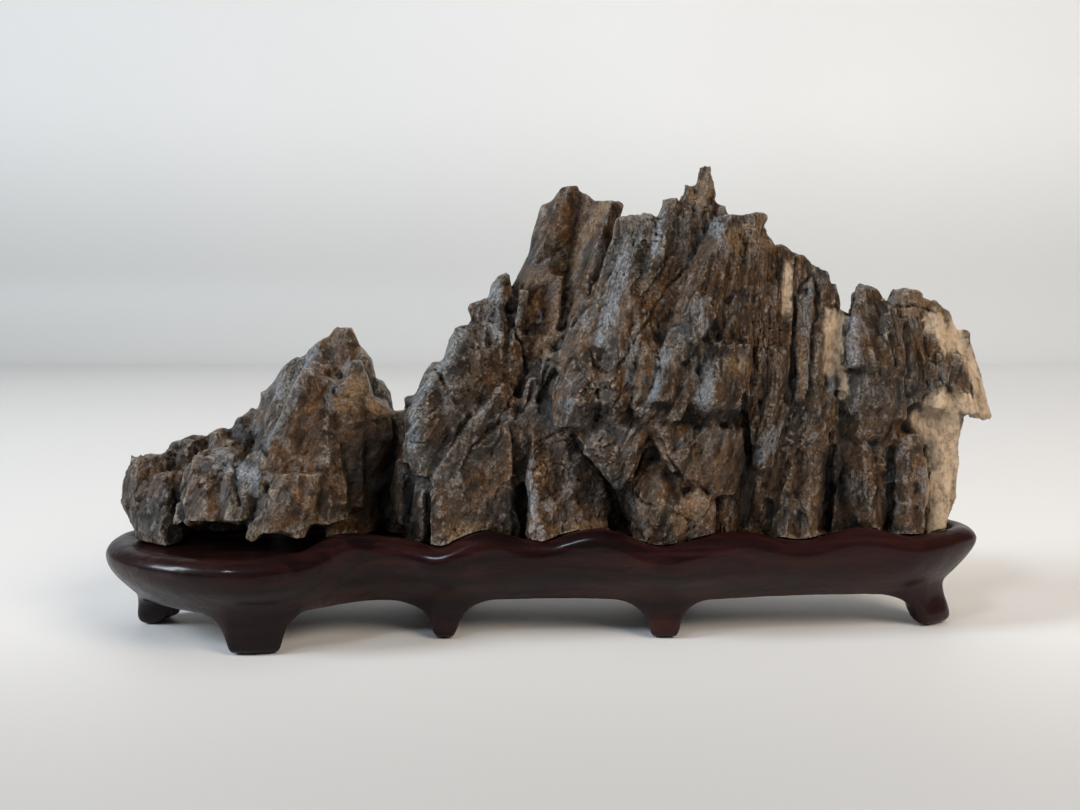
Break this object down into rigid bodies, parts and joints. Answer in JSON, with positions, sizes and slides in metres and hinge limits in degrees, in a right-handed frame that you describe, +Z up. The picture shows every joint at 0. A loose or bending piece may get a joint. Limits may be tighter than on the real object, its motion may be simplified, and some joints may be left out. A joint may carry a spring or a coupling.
{
  "type": "scholars rock",
  "caption": "Rugged mountain-range shaped stone resting in the tray of a low carved dark-wood stand with scalloped rim and short feet.",
  "frame": {"origin": "centre of the bounding box's bottom, on the plane that the feet stand on", "axes": "+Z up; +X along the length, towards the stone's overhanging beak; -Y is the front that the stone is shown from"},
  "size_m": [0.1819, 0.0532, 0.0938],
  "materials": {
    "rock": "rough weathered brown-grey stone with dark fissures and a few cream and tan veins",
    "stand": "satin to glossy dark reddish-brown stained hardwood"
  },
  "bodies": {
    "root": {"rock": "rock", "stand": "stand"}
  },
  "joints": []
}
